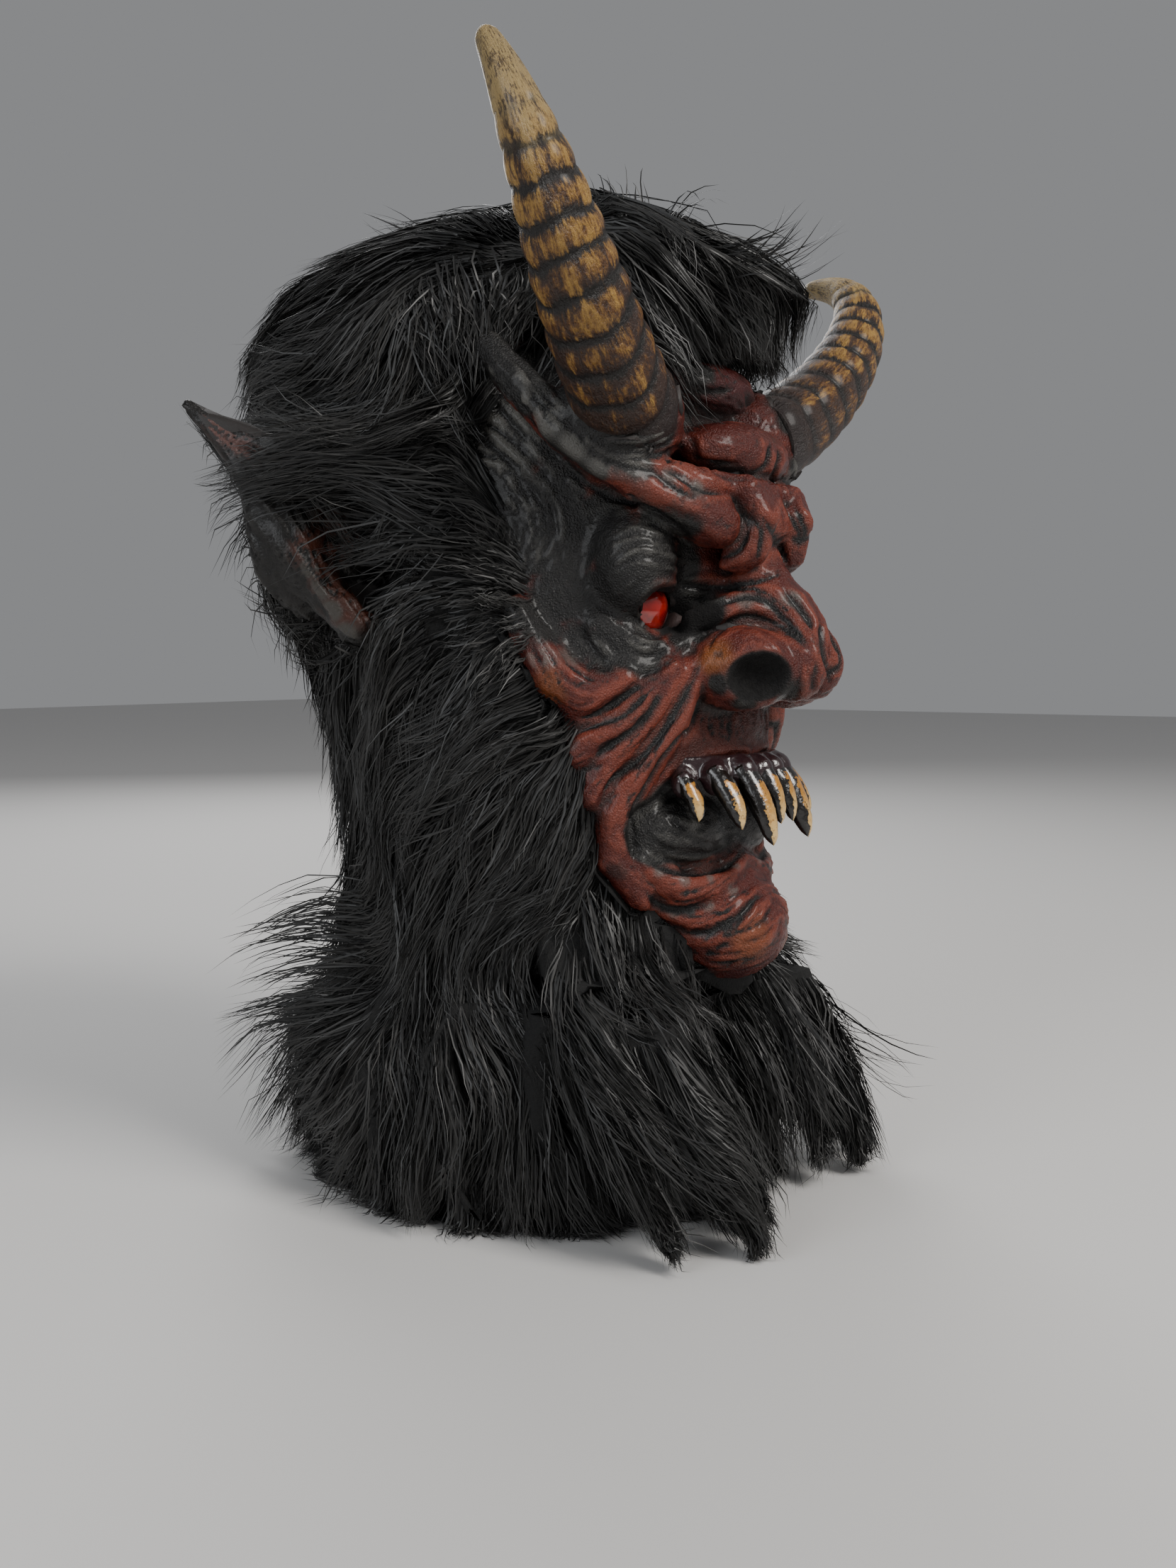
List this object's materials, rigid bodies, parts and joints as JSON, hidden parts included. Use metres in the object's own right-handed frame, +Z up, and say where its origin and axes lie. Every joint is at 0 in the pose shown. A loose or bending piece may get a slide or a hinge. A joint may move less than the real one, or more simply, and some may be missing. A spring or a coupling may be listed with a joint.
{
  "type": "devil mask",
  "caption": "Over-the-head devil mask in dark red latex with long black fur, ringed horns, heavy brow, red eyes and fangs, standing on its furred neck.",
  "frame": {"origin": "on the ground under the middle of the mask's box, where the hem of the neck stands", "axes": "+Z up, the face looks towards -Y, the mask's right side is -X"},
  "size_m": [0.3324, 0.3254, 0.4705],
  "materials": {
    "painted_latex": "brick red latex airbrushed with black and grey in the folds, satin with glossy high spots",
    "horn": "cast horn in ochre and dark brown bands with a pale tip, satin lacquer",
    "eye": "glossy translucent red with a black corner",
    "teeth": "amber and cream fangs in a purplish black gum, wet gloss",
    "fur": "long black faux fur with a soft grey sheen"
  },
  "bodies": {
    "root": {"mask_skin": "painted_latex", "horn_right": "horn", "horn_left": "horn", "eye_right": "eye", "eye_left": "eye", "upper_teeth": "teeth", "fur_hood": "fur", "fur_collar": "fur"}
  },
  "joints": []
}
